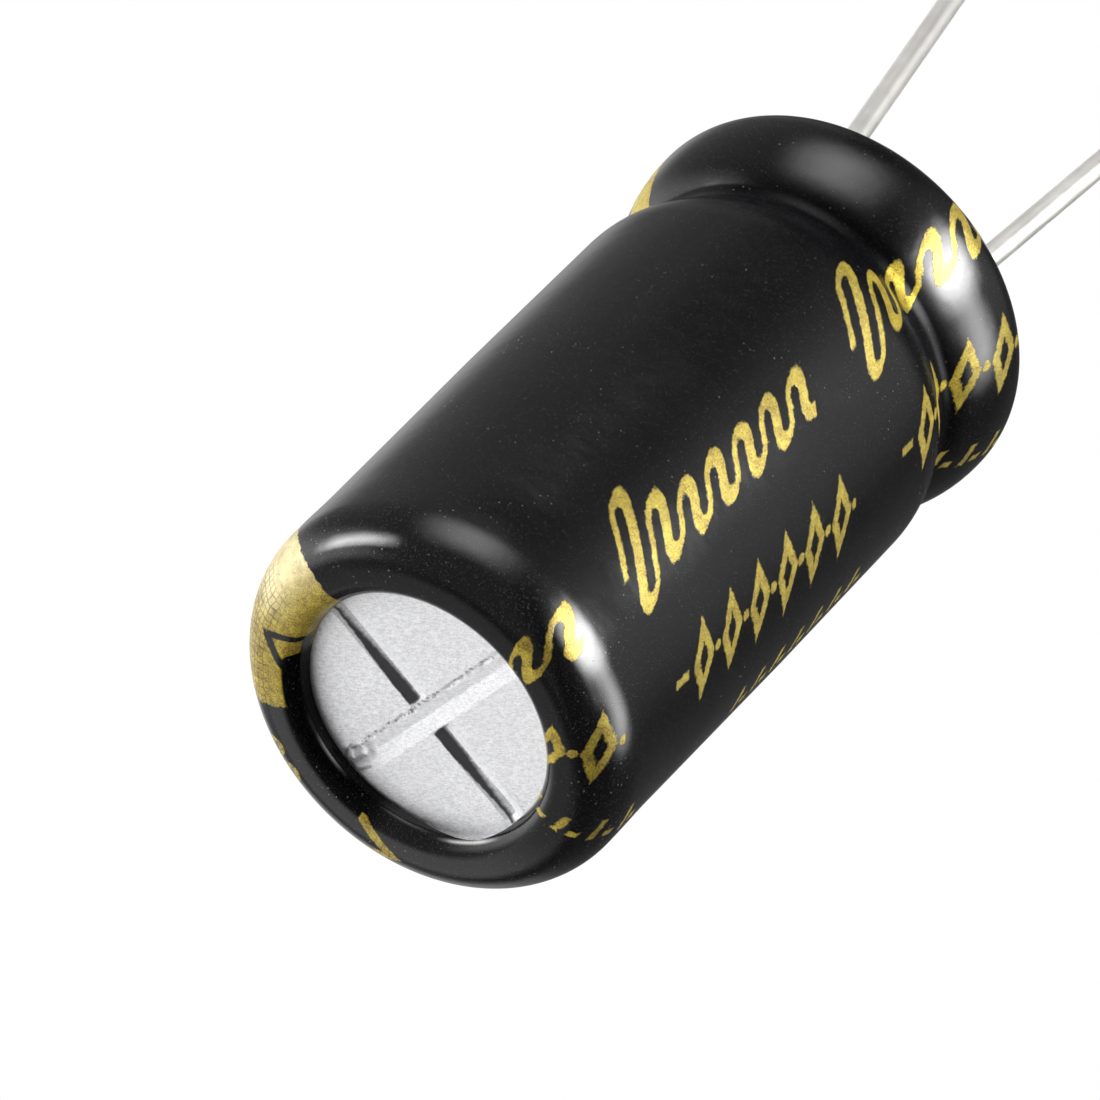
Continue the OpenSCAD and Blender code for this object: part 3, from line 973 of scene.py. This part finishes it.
# Can as a finer turned piece of the same form, with the torn section of its score lines
def make_can(metal):
    curl_r = curl_c[0] - CURL_R
    bite_z = curl_c[1] + CURL_BITE
    outer = [(panel_r, panel_z), (panel_r, lip_c[1])] + closed_end(0)
    outer += open_end(0, step=UNDER_FILM_STEP) + [(curl_r, bite_z)]
    inner = [(lip_c[0] - max(LIP_R - CAN_WALL, SMALLEST_R), panel_under_z)]
    inner += closed_end(-CAN_WALL, step=INNER_STEP) + open_end(-CAN_WALL, step=INNER_STEP)
    inner += [(curl_r + CAN_WALL, bite_z)]
    turned = Lathe()
    out_rings = [turned.ring(*p) for p in with_rows(outer, CAN_ROW)]
    in_rings = [turned.ring(*p) for p in with_rows(inner, INNER_ROW)]
    turned.bands(out_rings, 0)
    turned.bands(in_rings, 0)
    turned.band(out_rings[-1], in_rings[-1], 0)
    turned.band(in_rings[0], [turned.vert(0, 0, panel_under_z)], 0)
    fill_panel(turned, out_rings[0])
    return piece("can_shell", turned.finish("can_shell", 50.0), [metal], ["can"])


# Soft boxes that glossy surfaces see: azimuth, elevation, half width, half height, edge, strength, roll
GLOSS_BOXES = [
    (20.6, -10.4, 10.9, 24.5, 10.8, 23.0, 3.9),
    (1.7, -12.4, 32.5, 11.2, 11.0, 7.8, 11.6),
    (89.8, -12.9, 16.0, 20.0, 15.7, 3.3, 4.7),
    (144.5, 16.5, 15.3, 4.8, 8.0, 16.7, -18.8),
    (174.4, 14.2, 32.7, 22.2, 12.8, 1.6, -33.7),
    (148.2, 21.4, 85.3, 75.8, 11.1, 0.18, -35.0),
    (-136.9, -21.7, 15.4, 31.5, 14.7, 0.69, -53.7),
    (10.1, -23.1, 33.6, 34.1, 25.5, 0.69, 40.6),
    (7.6, 6.0, 18.7, 9.5, 4.2, 1.25, -6.9),
    (-131.0, 40.0, 24.0, 14.0, 13.0, 0.80, 0.0),
]
GLOSS_BASE = 0.080

# The same for matt surfaces
MATT_BOXES = [
    (-170.0, 40.0, 42.0, 26.0, 18.0, 5.2, 0.0),
]
MATT_BASE = 0.12

# Pale floor just under the tips of the leads: gap and half width in millimetres, and its light
FLOOR_GAP = 0.05
FLOOR_HALF = 600.0
FLOOR_GLOW = 1.9


# Brightness of the studio in the direction of a ray
def box_light(way, boxes, base):
    total = None
    for az, el, wide, tall, soft, power, roll in boxes:
        a = math.radians(az)
        e = math.radians(el)
        mid = Vector((math.cos(a) * math.cos(e), math.sin(a) * math.cos(e), math.sin(e)))
        side = Vector((-math.sin(a), math.cos(a), 0))
        up = mid.cross(side)
        turn = Matrix.Rotation(math.radians(roll), 3, mid)
        ahead, right, above = (way.vector("DOT_PRODUCT", way, tuple(d), output=1)
                               for d in (mid, turn @ side, turn @ up))
        u = abs(right.math("ARCTAN2", right, ahead))
        v = abs(above.math("ARCSINE", above))
        lit = u.step((wide + soft) * DEGREE, (wide - soft) * DEGREE)
        lit = lit * v.step((tall + soft) * DEGREE, (tall - soft) * DEGREE) * power
        total = lit if total is None else total + lit
    return total + base


# Plain white to the camera, and another level to all other rays
def white_to_camera(tree, level):
    seen = node(tree, "ShaderNodeLightPath", "Is Camera Ray")
    return seen + (1.0 - seen) * level


def studio():
    world = bpy.data.worlds.new("studio")
    bpy.context.scene.world = world
    world.use_nodes = True
    world.cycles.sampling_method = "NONE"
    tree = world.node_tree
    tree.nodes.clear()
    way = node(tree, "ShaderNodeTexCoord", "Generated")
    glossy = node(tree, "ShaderNodeLightPath", "Is Glossy Ray")
    gloss = box_light(way, GLOSS_BOXES, GLOSS_BASE)
    matt = box_light(way, MATT_BOXES, MATT_BASE)
    level = white_to_camera(tree, glossy * gloss + (1.0 - glossy) * matt)
    light = node(tree, "ShaderNodeBackground", Color=WHITE, Strength=level)
    node(tree, "ShaderNodeOutputWorld", None, Surface=light)


def floor():
    low = cad_box[0].z - FLOOR_GAP * MM
    h = FLOOR_HALF * MM
    mesh = bpy.data.meshes.new("floor")
    mesh.from_pydata([(-h, -h, low), (h, -h, low), (h, h, low), (-h, h, low)], [], [(0, 1, 2, 3)])
    obj = bpy.data.objects.new("floor", mesh)
    bpy.context.scene.collection.objects.link(obj)
    paper_white = bpy.data.materials.new("floor_paper")
    paper_white.use_nodes = True
    tree = paper_white.node_tree
    tree.nodes.clear()
    glow = node(tree, "ShaderNodeEmission", Color=WHITE, Strength=white_to_camera(tree, FLOOR_GLOW))
    clear = node(tree, "ShaderNodeBsdfTransparent")
    glossy = node(tree, "ShaderNodeLightPath", "Is Glossy Ray")
    mixed = node(tree, "ShaderNodeMixShader", i0=glossy, i1=glow, i2=clear)
    node(tree, "ShaderNodeOutputMaterial", None, Surface=mixed)
    mesh.materials.append(paper_white)


def camera():
    data = bpy.data.cameras.new("camera")
    data.lens = LENS
    data.sensor_width = SENSOR
    data.clip_start = CLIP_START
    data.clip_end = CLIP_END
    obj = bpy.data.objects.new("camera", data)
    bpy.context.scene.collection.objects.link(obj)
    turn = Matrix((CAMERA_RIGHT, CAMERA_UP, CAMERA_BACK)).transposed()
    obj.matrix_world = Matrix.Translation(Vector(CAMERA_AT) * MM) @ turn.to_4x4()
    bpy.context.scene.camera = obj


# Better material for a solid that stays as it is
def refinish(name, material):
    slots = NODES[name].data.materials
    if len(slots) == 0:
        slots.append(material)
    for i in range(len(slots)):
        slots[i] = material


bpy.context.scene.view_settings.view_transform = "Standard"
camera()
studio()
floor()
make_sleeve(printed_sleeve(), cut_sleeve())
make_can(can_metal())
wire = tinned_wire()
tab = tab_metal()
refinish("anode_lead", wire)
refinish("cathode_lead", wire)
refinish("seal", seal_rubber())
refinish("anode_tab", tab)
refinish("cathode_tab", tab)
refinish("anode_foil", etched_foil("anode_etch", (0.16, 0.165, 0.18), (0.34, 0.35, 0.37)))
refinish("cathode_foil", etched_foil("cathode_etch", (0.32, 0.33, 0.35), (0.55, 0.56, 0.58)))
refinish("inner_paper", paper("inner_paper_pulp", (0.52, 0.43, 0.28), (0.76, 0.68, 0.50)))
refinish("outer_paper", paper("outer_paper_pulp", (0.58, 0.50, 0.34), (0.82, 0.75, 0.58)))
refinish("closing_tape", tape_film())

bpy.context.view_layer.update()
